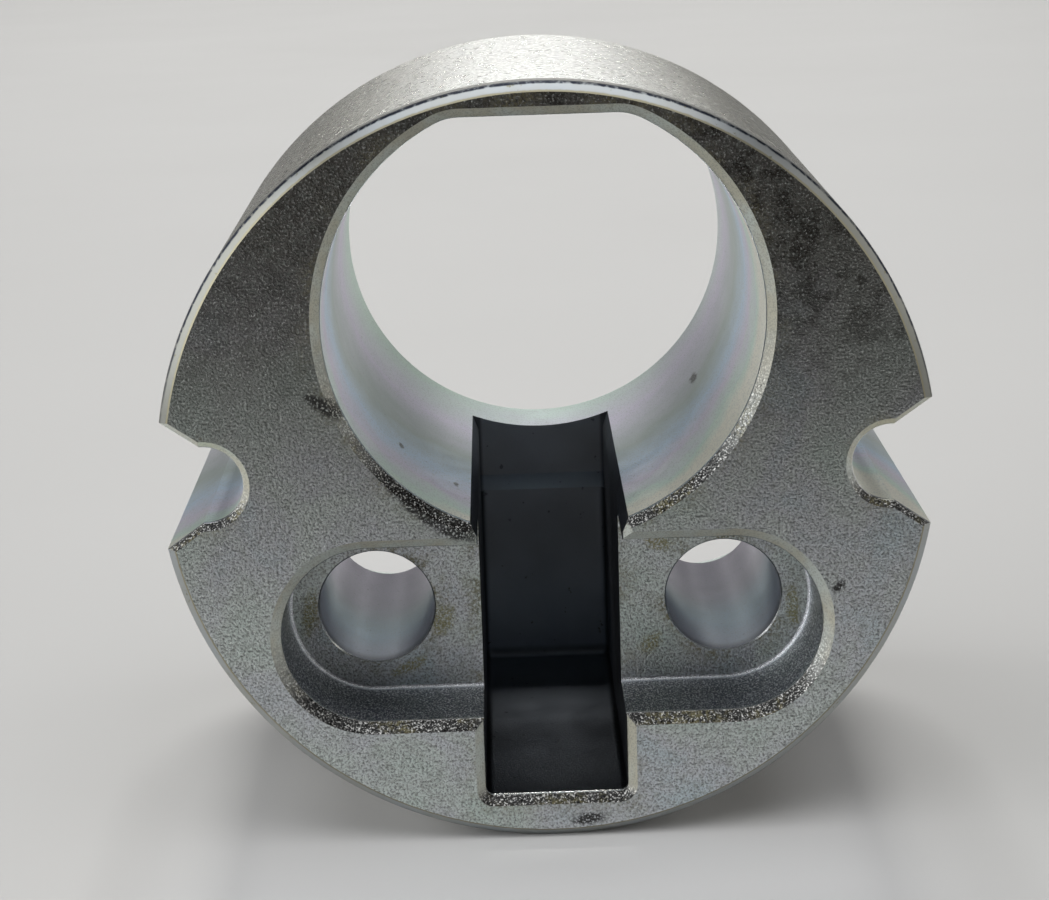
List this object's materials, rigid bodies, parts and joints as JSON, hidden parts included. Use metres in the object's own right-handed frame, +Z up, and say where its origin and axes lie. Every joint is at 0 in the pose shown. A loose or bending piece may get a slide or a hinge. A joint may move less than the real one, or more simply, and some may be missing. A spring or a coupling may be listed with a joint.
{
  "type": "coupling hub",
  "caption": "Thick round metal hub with a large off-centre shaft bore, a blind key slot, a recess with screw holes and a flared groove along each side.",
  "frame": {"origin": "middle of the hub's length, on the line along its round side that it lies on, below the body's axis", "axes": "+Y along the bore from the recessed front face to the rear face, +Z up from the line of contact through the bore, +X across the side grooves"},
  "size_m": [0.0316, 0.022, 0.032],
  "materials": {
    "zinc_plated_steel": "zinc-plated pressed and sintered steel, fine satin grain with a faint blue and green passivation tint"
  },
  "bodies": {
    "root": {"hub_body": "zinc_plated_steel"}
  },
  "joints": []
}
